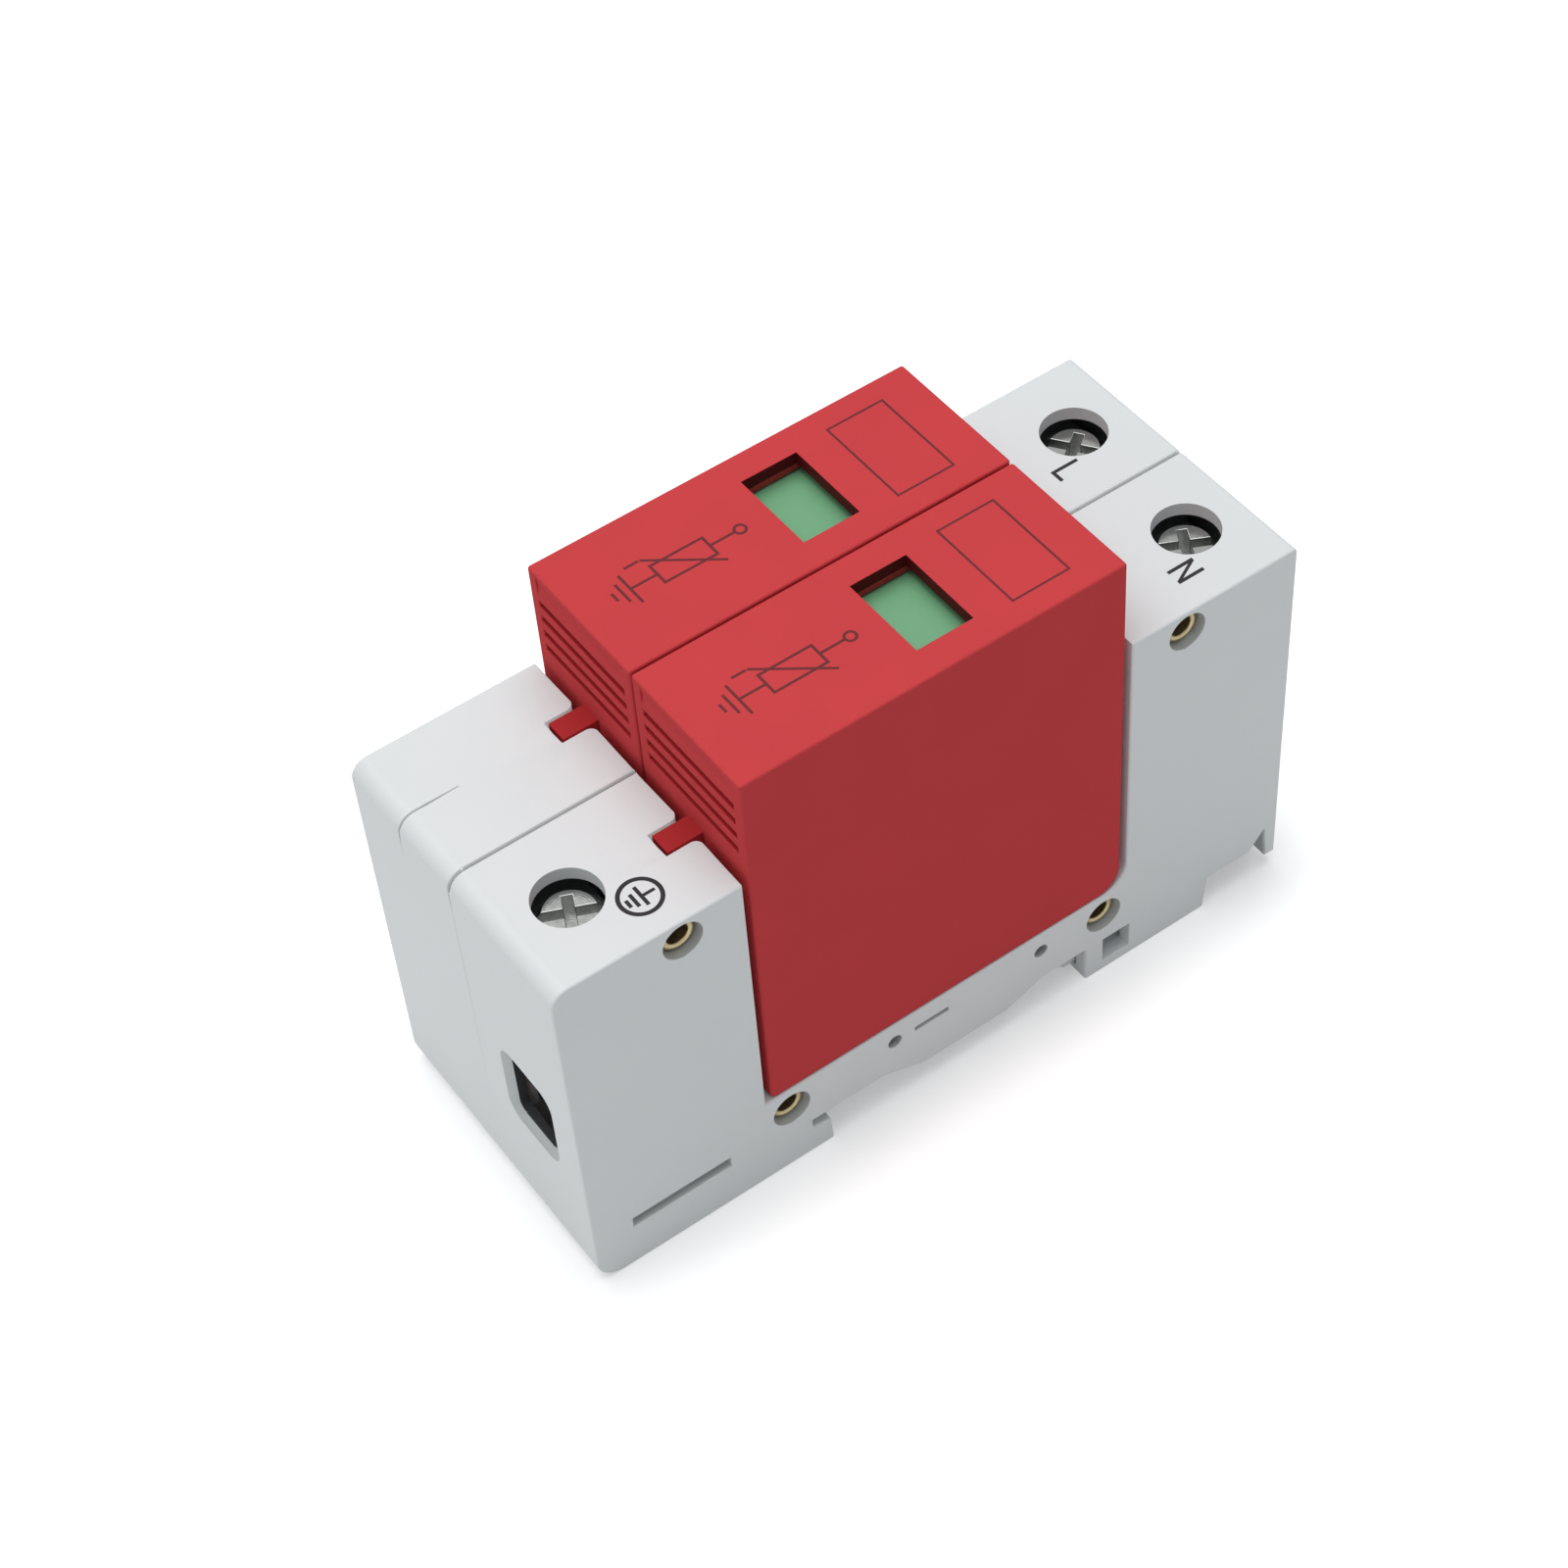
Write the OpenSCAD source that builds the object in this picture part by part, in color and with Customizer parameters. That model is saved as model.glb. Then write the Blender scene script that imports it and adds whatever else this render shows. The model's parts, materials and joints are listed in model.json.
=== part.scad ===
// Two-pole surge arrester for a 35 mm top hat rail.
// A riveted grey housing carries three cage terminals and two red plug-in modules.
// X runs along the rail, Y from the earth end to the line end, Z away from the rail.

/* [Housing] */
// Width of one pole along the rail
pole_w = 18; // [17.5:0.5:24]
// Length of the terminal block at the earth end
earth_block_l = 21.5; // [21:0.1:28]
// Length of the terminal block at the line end
line_block_l = 21.1; // [20.5:0.1:28]
// Height of the shoulder over the earth terminal
earth_h = 47.8; // [45:0.1:54]
// Height of the shoulder over the line terminals
line_h = 49.3; // [45:0.1:54]
// Height of the deck that the modules stand on
deck_z = 12.5; // [12:0.1:16]
// Wall thickness of the half shells
wall = 1.6; // [1.2:0.1:2]
// Thickness of the deck under the modules
deck_t = 1.2; // [1:0.1:1.6]
// Radius of the top edge at the earth end
top_edge_r = 2; // [0.5:0.1:3]
// Radius of the lower edge at the earth end
foot_edge_r = 3; // [0.5:0.1:5]
// Radius of the top edge at the line end
line_edge_r = 0.6; // [0.2:0.1:2]
// Radius in the deck's corner at the line end
deck_corner_r = 3.2; // [1:0.1:5]

/* [Rail seat] */
// Width of the rail
rail_w = 35; // [34:0.5:36]
// Thickness of the rail's flange
rail_t = 1; // [0.8:0.1:1.5]
// Play of the rail between hook and clip
rail_play = 0.8; // [0.4:0.1:1.2]
// Reach of the fixed hook under the flange
hook_reach = 2.2; // [1.5:0.1:3]
// Height of the seat above the feet
seat_z = 5; // [4.8:0.1:5.6]
// Thickness of the floor between the seat and the contact bars
seat_floor = 0.8; // [0.6:0.1:1.2]
// Depth of the boss that dips between the rail's flanges
seat_boss = 1.9; // [0.5:0.1:2.5]

/* [Rail clip] */
// Travel of the clip when it is pulled open
clip_travel = 4; // [3:0.1:5]
// Width of the clip's pull tab
tab_w = 8; // [5:0.5:10]
// Thickness of the clip's pull tab
tab_t = 1.3; // [1:0.1:1.5]
// Length of the notch over the pull tab
notch_l = 10.2; // [9:0.1:12]
// Height of the notch over the pull tab
notch_h = 4.4; // [4:0.1:5]
// Height of the slot where a screwdriver pries the clip
pry_h = 6.6; // [6:0.1:7]
// Thickness of the end lip beside the pry slot
lip_t = 1.4; // [1:0.1:2]
// Height of the lower edge of the end lip
lip_z = 2; // [1.9:0.1:3]

/* [Side openings] */
// Distance of the long side slot from the earth end
vent_d = 4.7; // [4:0.1:6]
// Length of the long side slot
vent_l = 12; // [6:0.5:12.5]
// Height of the long side slot
vent_h = 1.5; // [1:0.1:2]
// Height of the long side slot above the feet
vent_z = 5.9; // [5:0.1:8]
// Diameter of the two peg holes under the modules
peg_d = 1.7; // [1:0.1:2.5]
// Length of the short slit under the modules
slit_l = 4.3; // [2:0.1:5]
// Height of the short slit under the modules
slit_h = 0.7; // [0.5:0.1:1]
// Length of the sight hole beside the rail clip
sight_l = 3.6; // [2:0.1:4.5]

/* [Terminals] */
// Distance of the earth screw from the earth end
earth_screw_in = 7.8; // [7.5:0.1:9]
// Distance of the line screws from the line end
line_screw_in = 6.9; // [6.8:0.1:8]
// Diameter of the screwdriver holes
screw_hole_d = 7.2; // [6.8:0.1:8]
// Diameter of the screw heads
head_d = 6.5; // [6:0.1:6.6]
// Height of the screw heads
head_h = 3; // [2:0.1:4]
// Depth of the screw heads below the shoulder
head_depth = 2.2; // [1.8:0.1:4]
// Thickness of the saddles under the screw heads
saddle_t = 2; // [1.5:0.1:3]
// Diameter of the screw shank
screw_d = 5; // [4:0.5:5.5]
// Pitch of the screw thread
screw_pitch = 0.8; // [0.7:0.05:1]
// Turns from open to closed
screw_turns = 6; // [4:1:8]
// Height of the middle of the wire entries
wire_z = 21; // [20:0.5:23]
// Width of the wire entries
wire_w = 7; // [6:0.1:7.4]
// Height of the wire entries
wire_h = 8.8; // [7:0.1:9]
// Corner radius of the wire entries
wire_r = 1; // [0.6:0.1:2.5]
// Width of the bevel around the wire entries
wire_bevel = 1.15; // [0.5:0.05:1.3]
// Length of the cage clamps along the wire
cage_len = 9.2; // [8.5:0.1:9.4]
// Wall thickness of the cage clamps
cage_wall = 1.3; // [1:0.1:1.5]
// Thickness of the threaded top of the cage clamps
cage_top_t = 3; // [2.5:0.1:4]

/* [Rivets] */
// Diameter of the rivet shank
rivet_d = 3.3; // [3.2:0.1:3.4]
// Bore of the hollow rivets
rivet_bore = 2.4; // [2.2:0.1:2.6]
// Diameter of the rolled rivet rim
rivet_rim_d = 4.2; // [4.1:0.1:4.6]
// Depth of the rolled rims below the sides of the housing
rivet_sink = 0.9; // [0.2:0.1:1.4]
// Distance of the upper rivets below the shoulders
rivet_drop = 2.8; // [2.7:0.1:3]
// Distance of the lower rivets below the deck
rivet_under = 3.3; // [3:0.1:3.4]
// Distance of the lower rivets from the block faces
rivet_in = 3; // [2.5:0.1:3.5]
// Distance of the upper rivets from the block faces
rivet_back = 7; // [6.8:0.1:7.2]

/* [Contacts] */
// Thickness of the contact bars
bar_t = 1; // [0.8:0.1:1.1]
// Width of the contact bars
bar_w = 7.4; // [6:0.1:7.6]
// Thickness of the jaw leaves
jaw_t = 0.8; // [0.6:0.1:1]
// Distance of the blades from the module's ends
blade_in = 8.5; // [8:0.1:9.5]
// Width of the blades
blade_w = 7; // [5:0.1:7.4]
// Thickness of the blades
blade_t = 1; // [0.8:0.1:1.2]
// Reach of the blades below the deck
blade_reach = 5.2; // [4:0.1:5.4]

/* [Modules] */
// Length of a module
module_l = 45; // [44:0.5:50]
// Height of a module above the deck
module_h = 48.6; // [46:0.1:56]
// Gap between the two modules
module_gap = 0.3; // [0.2:0.1:0.6]
// Play of a module between the blocks
module_play = 0.8; // [0.4:0.1:1]
// Wall thickness of the module caps
cap_wall = 1.2; // [1:0.1:1.5]
// Thickness of the module caps' top
cap_top = 1.5; // [1.2:0.1:2]
// Corner radius of the caps' lower edge at the line end
cap_corner_r = 2.9; // [1:0.1:4]
// Corner radius of the caps' lower edge at the earth end
cap_heel_r = 0.7; // [0.3:0.1:2]

/* [Grip] */
// Distance of the finger hollow below the caps' top
finger_drop = 0.5; // [0.4:0.1:1]
// Height of the finger hollow
finger_h = 2.4; // [1.6:0.1:2.6]
// Depth of the finger hollow
finger_depth = 0.2; // [0.1:0.05:0.4]
// Distance of the first groove below the caps' top
grip_drop = 3.6; // [3.4:0.1:4.2]
// Number of grooves in the grip
groove_n = 4; // [3:1:4]
// Distance between the grooves
groove_pitch = 2.05; // [1.6:0.05:2.1]
// Height of a groove
groove_h = 0.9; // [0.5:0.1:1.2]
// Depth of a groove
groove_depth = 0.5; // [0.3:0.1:0.7]
// Smooth margin beside the grooves
groove_margin = 1.4; // [0.8:0.1:2]

/* [Guide rib] */
// Width of the rib on the module's earth side
rib_w = 2.7; // [2:0.1:3.5]
// Length of the rib
rib_l = 4.1; // [3:0.1:4.3]
// Height of the rib
rib_h = 12; // [6:0.5:14]
// Radius at the mouth of the rib's slot
rib_mouth_r = 0.9; // [0.3:0.1:1.2]

/* [Window] */
// Width of the window across the module
window_w = 10.5; // [8:0.1:11]
// Length of the window along the module
window_l = 6.6; // [5:0.1:7]
// Distance of the window from the module's middle
window_shift = 3.5; // [2:0.1:4]

/* [Disconnector] */
// Gap between the varistor and the spring arm
varistor_gap = 3; // [2:0.1:6]
// Height of the varistor
varistor_h = 32; // [28:0.5:34]
// Thickness of the varistor
varistor_t = 6.4; // [4:0.1:8]
// Distance of the spring arm from the line blade
arm_offset = 4.8; // [4.5:0.1:5.5]
// Thickness of the spring arm
arm_t = 0.6; // [0.4:0.1:0.8]
// Width of the spring arm
arm_w = 5; // [4:0.1:6]
// Swing of the spring arm when the solder melts, in degrees
arm_swing = 10.5; // [10.4:0.1:11]
// Thickness of the indicator flag
flag_t = 1.2; // [1:0.1:1.6]
// Gap between the cap's top and the flag
flag_drop = 1.2; // [0.6:0.1:1.6]

/* [Clearances] */
// Gap between sliding parts and their guides
slide_gap = 0.3; // [0.2:0.05:0.4]
// Gap between fixed parts that fit into each other
fit_gap = 0.1; // [0.05:0.05:0.15]

/* [Hidden] */
$fn = 48;
over = 1;
sheet = 0.01;

GREY = "#c9cccc";
RED = "#c8383c";
STEEL = "#b9bcbf";
BRASS = "#c9ad6a";
COPPER = "#c07a50";
GREEN = "#5fae80";
BLUE = "#2f5f9c";

// Distances d run from the earth end's face towards the line end.
channel_l = module_l + 2 * module_play;
channel_d = earth_block_l;
line_wall_d = channel_d + channel_l;
housing_l = line_wall_d + line_block_l;
mid_d = channel_d + channel_l / 2;
pole_mid = pole_w / 2;
module_d0 = mid_d - module_l / 2;
module_d1 = mid_d + module_l / 2;
earth_blade_d = module_d0 + blade_in;
line_blade_d = module_d1 - blade_in;
earth_screw_d = earth_screw_in;
line_screw_d = housing_l - line_screw_in;

// Rail seat and rail clip
floor_z = seat_z + seat_floor;
hook_d = mid_d - (rail_w + rail_play) / 2;
hook_slope = 0.3;
clip_wall_d = hook_d + rail_w + rail_play;
flange_gap = rail_t + slide_gap;
boss_l = 21;
boss_ramp = 5;
boss_d = mid_d + 1.7 - boss_l / 2;
notch_slope = 0.6;
pry_d = housing_l - lip_t - 0.4;
pry_l = 1.8;
ledge_z = 0.9;
clip_half_w = pole_mid - wall - slide_gap;
clip_neck_half_w = clip_half_w - 1.2;
clip_z0 = 0.4;
clip_z1 = seat_z - 0.6;
clip_roof_z = clip_z1 + slide_gap;
clip_reach = clip_travel - 1;
clip_nose_d = clip_wall_d - clip_reach;
clip_nose_z = seat_z - flange_gap - fit_gap;
clip_body_d = housing_l - notch_l - 1.5;
nose_lip = 0.6;
nose_ramp = 2.2;
tab_end_d = housing_l - lip_t - 1.3;
tab_eye = 2;
leg_slit = 0.8;
leg_x = clip_neck_half_w - 1.6;
leg_in = 3;

// Side openings
peg_under = 2.8;
peg_z = deck_z - peg_under;
earth_peg_out = 7.2;
line_peg_out = 11.9;
pegs_d = [mid_d - earth_peg_out, mid_d + line_peg_out];
slit_out = 4.6;
slit_d = mid_d - slit_out;
sight_d = clip_wall_d + 2.4;
sight_z = 1.3;

// Rivets: places of their axes and depth of the counterbores
rivet_boss_r = rivet_d / 2 + 0.5;
curl_r = (rivet_rim_d - rivet_bore) / 4 + 0.06;
rim_t = curl_r + 0.1;
rim_play = 0.15;
rim_depth = rivet_sink + rim_t + fit_gap;
pad_half = rivet_rim_d / 2 + rim_play + 1.3;
pad_floor = 0.9;
rivets_dz = [
    [channel_d - rivet_back, earth_h - rivet_drop],
    [channel_d + rivet_in, deck_z - rivet_under],
    [line_wall_d - rivet_in, deck_z - rivet_under],
    [line_wall_d + rivet_back, line_h - rivet_drop]
];

// Terminals
slot_wall = 1.2;
guide_t = 1.4;
bevel_depth = 0.6;
bar_z = wire_z + wire_h / 2 + 0.6;
bar_top = bar_z + bar_t;
cage_floor_z = wire_z - wire_h / 2 - slide_gap;
cage_z0 = cage_floor_z - 1.5;
cage_top_z = bar_top + 0.4;
cage_z1 = cage_top_z + cage_top_t;
cage_half_w = bar_w / 2 + slide_gap + cage_wall;
cage_travel = screw_turns * screw_pitch;
thread_gap = 0.08;
head_edge = 0.5;
drive_w = 1.1;
drive_depth = 1.3;
cross_l = 4.2;
cross_depth = 1.7;
screw_turn_l = 35;
screw_turn_n = 62;
screw_turn_pe = 65;

// Contacts
strap_half_l = 2.2;
jaw_top_z = deck_z - deck_t - fit_gap;
line_sump_d = line_wall_d + rivet_back;
line_riser_d = line_wall_d + wall + 1.5;
slot_half_w = rib_w / 2 + slide_gap;
slot_back_d = module_d0 - rib_l - slide_gap;
earth_riser_d = slot_back_d - slot_wall - bar_t - 0.7;

// Modules
module_z0 = deck_z + fit_gap;
module_z1 = deck_z + module_h;
module_half_w = (pole_w - module_gap) / 2;
cap_in_half_w = module_half_w - cap_wall;
rib_z1 = earth_h;
finger_r = (finger_h * finger_h / 4 + finger_depth * finger_depth) / (2 * finger_depth);
plug_t = 2.5;
plug_top_z = module_z0 + plug_t;
foot_t = 0.8;
foot_top_z = plug_top_z + foot_t;
arm_d = line_blade_d - arm_offset;
pin_r = 0.4;
pin_gap = 0.05;
eye_r = pin_r + pin_gap + 0.4;
arm_pivot_z = foot_top_z + slide_gap + eye_r;
ear_in = arm_w / 2 + slide_gap;
ear_out = ear_in + foot_t;
cradle_t = 2;
cradle_h = 3;
earth_cradle_in = 1;
line_cradle_in = 5;
varistor_end_gap = 1.2;
varistor_d0 = module_d0 + cap_wall + varistor_end_gap;
varistor_d1 = arm_d - arm_t / 2 - varistor_gap;
varistor_z0 = plug_top_z + cradle_h;
varistor_r = 3;
cradles_d = [varistor_d0 + earth_cradle_in, varistor_d1 - line_cradle_in];
solder_gap = 0.15;
tab_h = 4;
tab_rise = 20;
tab_z0 = varistor_z0 + tab_rise;

// Indicator flag
flag_z1 = module_z1 - cap_top - flag_drop;
flag_z0 = flag_z1 - flag_t;
window_d = mid_d + window_shift;
flag_half_w = window_w / 2 + 1;
flag_d0 = window_d - window_l / 2 - 0.15;
finger_d = arm_d + arm_t / 2 + 0.25;
finger_t = 1;
finger_l = 4.5;
arm_top_z = flag_z0 - 2.4;
flag_travel = (arm_top_z - arm_pivot_z) * arm_swing * PI / 180;
shelf_t = 1.2;
shelf_z0 = flag_z0 - 1 - shelf_t;
shelf_d1 = arm_d - arm_t / 2 - 0.5;
track_d0 = flag_d0 - 2;
track_d1 = finger_d + finger_t + flag_travel + 1;

// Puts the earth end at -Y, with the origin under the middle of the housing
module in_frame() {
    translate([0, -housing_l / 2, 0]) children();
}

// Moves to the middle of a pole: -1 is the L pole, 1 is the N pole
module in_pole(side) {
    in_frame() translate([side * pole_mid, 0, 0]) children();
}

// Extrudes an outline of distance d and height z from x0 to x1
module across(x0, x1) {
    translate([x0, 0, 0])
        rotate([90, 0, 90])
            linear_extrude(x1 - x0)
                children();
}

// A box given by its two opposite corners
module box(a, b) {
    translate(a) cube(b - a);
}

// A box that is centred on x = 0
module wide_box(half_w, d0, d1, z0, z1) {
    box([-half_w, d0, z0], [half_w, d1, z1]);
}

// A rectangle given by its two opposite corners
module rect(a, b) {
    translate(a) square(b - a);
}

module rounded_rect(a, b, r) {
    rect([a[0] + r, a[1]], [b[0] - r, b[1]]);
    rect([a[0], a[1] + r], [b[0], b[1] - r]);
    for (u = [a[0] + r, b[0] - r], v = [a[1] + r, b[1] - r])
        translate([u, v]) circle(r);
}

// What is cut off a square corner at the origin to round it
module corner_sliver(r) {
    difference() {
        translate([-over, -over]) square(r + over);
        translate([r, r]) circle(r);
    }
}

// The space of the rail: an undercut at the hook, a flat seat and a shallow boss
module rail_space() {
    polygon([
        [hook_d, seat_z],
        [hook_d, seat_z - flange_gap],
        [hook_d + hook_reach, seat_z - flange_gap - hook_slope],
        [hook_d + hook_reach + hook_slope, -over],
        [clip_wall_d, -over],
        [clip_wall_d, seat_z],
        [boss_d + boss_l, seat_z],
        [boss_d + boss_l - boss_ramp, seat_z - seat_boss],
        [boss_d + boss_ramp, seat_z - seat_boss],
        [boss_d, seat_z]
    ]);
}

// The notch over the clip's pull tab, with the pry slot inside the end lip
module tab_notch() {
    polygon([
        [housing_l - notch_l, -over],
        [housing_l - notch_l, 0],
        [housing_l - notch_l + notch_slope, notch_h],
        [pry_d - pry_l, notch_h],
        [pry_d, pry_h],
        [housing_l - lip_t, lip_z],
        [housing_l + over, lip_z],
        [housing_l + over, -over]
    ]);
}

module housing_outline() {
    difference() {
        union() {
            rect([0, 0], [housing_l, deck_z]);
            rect([0, 0], [channel_d, earth_h]);
            rect([line_wall_d, 0], [housing_l, line_h]);
            translate([line_wall_d, deck_z])
                mirror([1, 0])
                    intersection() {
                        corner_sliver(deck_corner_r);
                        square(deck_corner_r);
                    }
        }
        rail_space();
        tab_notch();
        corner_sliver(foot_edge_r);
        translate([0, earth_h]) mirror([0, 1]) corner_sliver(top_edge_r);
        translate([housing_l, line_h]) rotate(180) corner_sliver(line_edge_r);
    }
}

// The hollow of a pole, less the rivets' bosses and the webs above them
module hollow_outline() {
    difference() {
        union() {
            rect([wall, wall], [channel_d - wall, earth_h - wall]);
            rect([wall, floor_z], [line_sump_d, deck_z - deck_t]);
            rect([line_wall_d + wall, floor_z], [line_sump_d, line_h - wall]);
            rect([line_wall_d + wall, pry_h + wall], [housing_l - wall, line_h - wall]);
        }
        for (p = rivets_dz)
            translate(p) {
                circle(rivet_boss_r);
                rect([-rivet_boss_r, 0], [rivet_boss_r, rivet_under]);
            }
    }
}

// Height of a screw head's underside below a shoulder
function under_head(top) = top - head_depth - head_h;

// A saddle across the pole that carries a screw under its head
module screw_saddle(d, top) {
    z1 = under_head(top) - slide_gap;
    wide_box(pole_mid - wall / 2, d - cage_len / 2, d + cage_len / 2, z1 - saddle_t, z1);
}

// Upright ribs on the side walls, which guide the cage before and behind
module cage_guides(d) {
    near = d - cage_len / 2 - slide_gap - guide_t;
    far = d + cage_len / 2 + slide_gap;
    for (side = [0, 1], rib_d = [near, far])
        mirror([side, 0, 0])
            box([bar_w / 2 + slide_gap, rib_d, cage_z0],
                [pole_mid - wall / 2, rib_d + guide_t, cage_z1 + cage_travel]);
}

// Section of a wire entry: straight through the wall, then bevelled to its mouth at height 0
module wire_section(half) {
    flare = wire_bevel * (1 + over / bevel_depth);
    polygon([
        [0, -wall - over],
        [half, -wall - over],
        [half, -bevel_depth],
        [half + flare, over],
        [0, over]
    ]);
}

// One side of a wire entry, from the middle to a straight edge
module wire_side(half, edge_l) {
    translate([0, edge_l / 2, 0])
        rotate([90, 0, 0])
            linear_extrude(edge_l)
                wire_section(half);
}

// A wire entry with rounded corners and a bevelled mouth. Its own Z axis points out of the housing.
module wire_entry() {
    corner = [wire_w / 2 - wire_r, wire_h / 2 - wire_r];
    for (turn = [0, 180])
        rotate(turn) {
            wire_side(wire_w / 2, 2 * corner[1]);
            rotate(90) wire_side(wire_h / 2, 2 * corner[0]);
        }
    for (u = [-1, 1], v = [-1, 1])
        translate([u * corner[0], v * corner[1], 0])
            rotate_extrude()
                wire_section(wire_r);
}

// The screwdriver hole, the saddle's bore and the wire entry of one terminal
module terminal_openings(d, top, face, turn) {
    translate([0, d, top - wall - over])
        cylinder(d = screw_hole_d, h = wall + 2 * over);
    translate([0, d, cage_z1])
        cylinder(d = screw_d + 2 * fit_gap, h = under_head(top) - cage_z1);
    translate([0, face, wire_z])
        rotate([90, 0, turn])
            wire_entry();
}

// The walls around the slot that takes a module's guide rib
module rib_slot_walls() {
    wide_box(slot_half_w + slot_wall, slot_back_d - slot_wall, channel_d - wall / 2,
        rib_z1 - rib_h - slide_gap - slot_wall, earth_h - wall / 2);
}

// The slot that takes a module's guide rib, with rounded corners at its mouth
module rib_slot() {
    translate([0, 0, rib_z1 - rib_h - slide_gap])
        linear_extrude(rib_h + slide_gap + over) {
            rect([-slot_half_w, slot_back_d], [slot_half_w, channel_d + over]);
            for (side = [0, 1])
                mirror([side, 0])
                    translate([slot_half_w, channel_d])
                        mirror([0, 1])
                            corner_sliver(rib_mouth_r);
        }
}

// Square pads inside the outer side wall, which carry the sunk rims of the rivets
module rivet_pads() {
    for (p = rivets_dz)
        translate([0, p[0], p[1]])
            box([pole_mid - rim_depth - pad_floor, -pad_half, -pad_half], [pole_mid, pad_half, pad_half]);
}

// The rivets' bores, with counterbores for the rolled rims in the outer side
module rivet_bores() {
    for (p = rivets_dz)
        translate([-pole_mid - over, p[0], p[1]])
            rotate([0, 90, 0]) {
                cylinder(d = rivet_d + 2 * fit_gap, h = pole_w + 2 * over);
                translate([0, 0, pole_w + over - rim_depth])
                    cylinder(d = rivet_rim_d + 2 * rim_play, h = rim_depth + over);
            }
}

// The small openings in the outer side wall
module side_openings() {
    x0 = pole_mid - wall - over;
    x1 = pole_mid + over;
    box([x0, vent_d, vent_z], [x1, vent_d + vent_l, vent_z + vent_h]);
    box([x0, slit_d, peg_z - slit_h / 2], [x1, slit_d + slit_l, peg_z + slit_h / 2]);
    box([x0, sight_d, sight_z], [x1, sight_d + sight_l, seat_z]);
    for (d = pegs_d)
        translate([x0, d, peg_z])
            rotate([0, 90, 0])
                cylinder(d = peg_d, h = x1 - x0);
}

// The guideway of the rail clip, open below between two ledges
module clip_way() {
    wide_box(pole_mid - wall, clip_wall_d - over, pry_d, ledge_z, clip_roof_z);
    wide_box(clip_neck_half_w + slide_gap, clip_wall_d - over, pry_d, -over, ledge_z + sheet);
}

// One pole of the housing, with its outer side at +X
module pole_shell(earth_terminal) {
    difference() {
        union() {
            difference() {
                across(-pole_mid, pole_mid) housing_outline();
                difference() {
                    across(-pole_mid + wall, pole_mid - wall) hollow_outline();
                    rivet_pads();
                }
            }
            screw_saddle(line_screw_d, line_h);
            cage_guides(line_screw_d);
            rib_slot_walls();
            if (earth_terminal) {
                screw_saddle(earth_screw_d, earth_h);
                cage_guides(earth_screw_d);
            }
        }
        terminal_openings(line_screw_d, line_h, housing_l, 180);
        if (earth_terminal)
            terminal_openings(earth_screw_d, earth_h, 0, 0);
        rib_slot();
        rivet_bores();
        side_openings();
        clip_way();
        for (d = [earth_blade_d, line_blade_d])
            wide_box(blade_w / 2 + slide_gap, d - blade_t / 2 - slide_gap, d + blade_t / 2 + slide_gap,
                deck_z - deck_t - over, deck_z + over);
        box([-pole_mid - over, earth_blade_d - strap_half_l - fit_gap, floor_z],
            [-pole_mid + wall + over, earth_blade_d + strap_half_l + fit_gap, floor_z + bar_t + fit_gap]);
    }
}

// Half of a pole's housing, parted in the middle of the pole
module half_shell(side, outer) {
    color(GREY)
        in_pole(side)
            mirror([side < 0 ? 1 : 0, 0, 0])
                intersection() {
                    pole_shell(side > 0);
                    box([outer ? 0 : -pole_mid - over, -over, -over],
                        [outer ? pole_mid + over : 0, housing_l + over, max(earth_h, line_h) + over]);
                }
}

module shell_l_outer() { half_shell(-1, true); }
module shell_l_inner() { half_shell(-1, false); }
module shell_n_inner() { half_shell(1, false); }
module shell_n_outer() { half_shell(1, true); }

// Half of a hollow rivet's section, with a rolled rim: radius against distance from the housing's middle
module rivet_section() {
    end = pole_w - rivet_sink;
    difference() {
        union() {
            rect([0, 0], [rivet_d / 2, end - curl_r]);
            intersection() {
                translate([rivet_rim_d / 2 - curl_r, end - curl_r]) circle(curl_r);
                rect([0, end - rim_t], [rivet_rim_d, pole_w]);
            }
        }
        rect([-over, -over], [rivet_bore / 2, pole_w]);
    }
}

module rivets() {
    color(BRASS)
        in_frame()
            for (p = rivets_dz, side = [0, 1])
                mirror([side, 0, 0])
                    translate([0, p[0], p[1]])
                        rotate([0, 90, 0])
                            rotate_extrude()
                                rivet_section();
}

// The two leaves of a jaw, which stand on a contact bar and open at their tips
module jaw_outline(d) {
    inner = blade_t / 2 + fit_gap;
    for (side = [0, 1])
        translate([d, 0])
            mirror([side, 0])
                polygon([
                    [inner, floor_z],
                    [inner, jaw_top_z - jaw_t],
                    [inner + jaw_t / 2, jaw_top_z],
                    [inner + jaw_t, jaw_top_z],
                    [inner + jaw_t, floor_z]
                ]);
}

// A line contact: jaw, bar on the floor, riser, and tongue through the cage
module contact(side) {
    tip = line_screw_d + cage_len / 2 + slide_gap;
    color(COPPER) {
        in_pole(side)
            across(-bar_w / 2, bar_w / 2) jaw_outline(line_blade_d);
        in_pole(side)
            across(-bar_w / 2, bar_w / 2) {
                rect([line_blade_d - strap_half_l, floor_z], [line_riser_d + bar_t, floor_z + bar_t]);
                rect([line_riser_d, floor_z], [line_riser_d + bar_t, bar_top]);
                rect([line_riser_d, bar_z], [tip, bar_top]);
            }
    }
}

module contact_l() { contact(-1); }
module contact_n() { contact(1); }

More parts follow.
